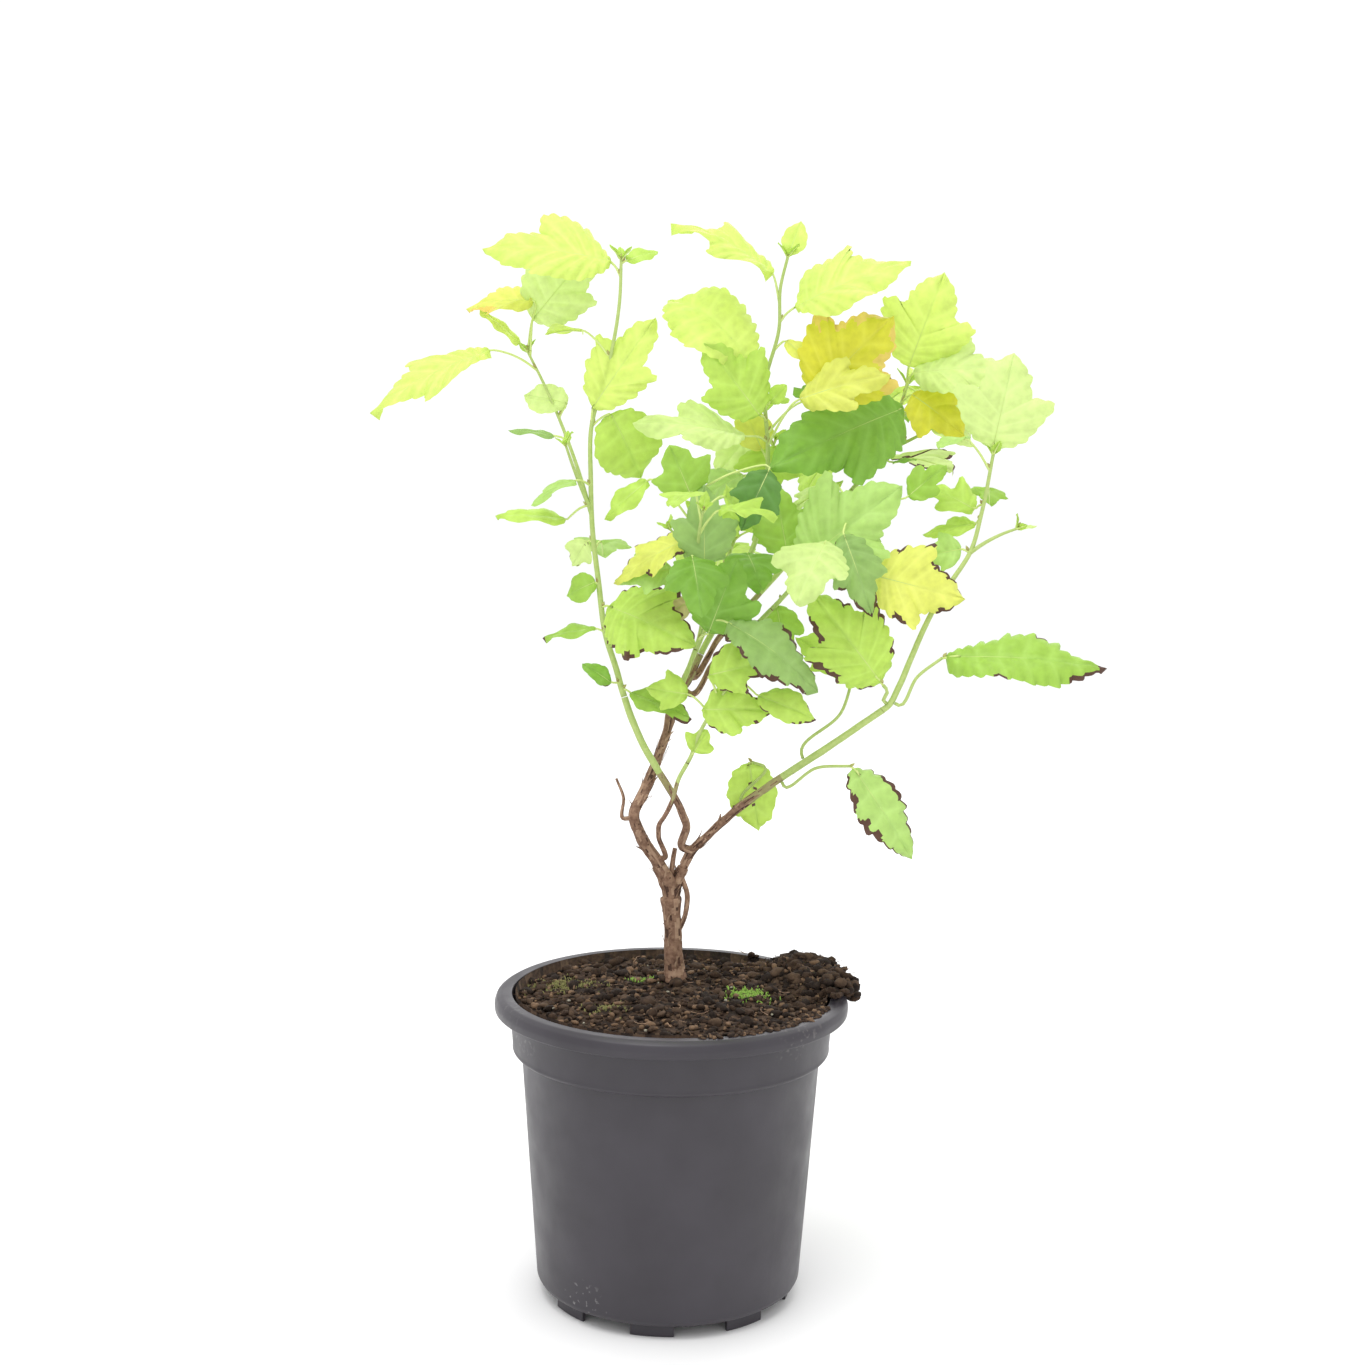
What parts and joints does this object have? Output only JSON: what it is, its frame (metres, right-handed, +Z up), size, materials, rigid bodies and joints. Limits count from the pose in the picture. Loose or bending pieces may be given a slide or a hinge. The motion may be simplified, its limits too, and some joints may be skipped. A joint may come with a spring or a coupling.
{
  "type": "potted ninebark shrub",
  "caption": "Young open shrub with lime-green lobed leaves on reddish-brown stems, standing in a black round nursery pot filled with soil.",
  "frame": {"origin": "centre of the pot's flat underside, on the surface it stands on", "axes": "+Z up along the pot's axis, +X to the right and +Y away as seen from the front"},
  "size_m": [0.3395, 0.1932, 0.5178],
  "materials": {
    "pot": "satin black, lightly scuffed and dusty",
    "soil": "matte dark crumbly soil with some moss",
    "bark": "matte peeling reddish-brown bark",
    "shoot": "satin green young bark",
    "leaves": "satin lime-green leaves with some brown edges"
  },
  "bodies": {
    "root": {"pot": "pot", "soil": "soil", "trunk": "bark", "bough_left": "bark", "bough_right": "bark", "bough_right_outer": "bark", "bough_left_shoot": "bark", "bough_thin": "shoot", "bough_back_right": "shoot", "bough_back": "shoot", "bough_front": "shoot", "bough_mid_right": "shoot", "dead_twig": "bark", "foliage_left": "leaves", "foliage_centre": "leaves", "foliage_back_right": "leaves", "foliage_right_tip": "leaves", "foliage_mid_right": "leaves", "foliage_front": "leaves", "foliage_low_front": "leaves", "foliage_back": "leaves", "spray_front": "leaves", "spray_hanging": "leaves", "spray_far_right": "leaves", "spray_scorched": "leaves", "spray_upright": "leaves"}
  },
  "joints": []
}
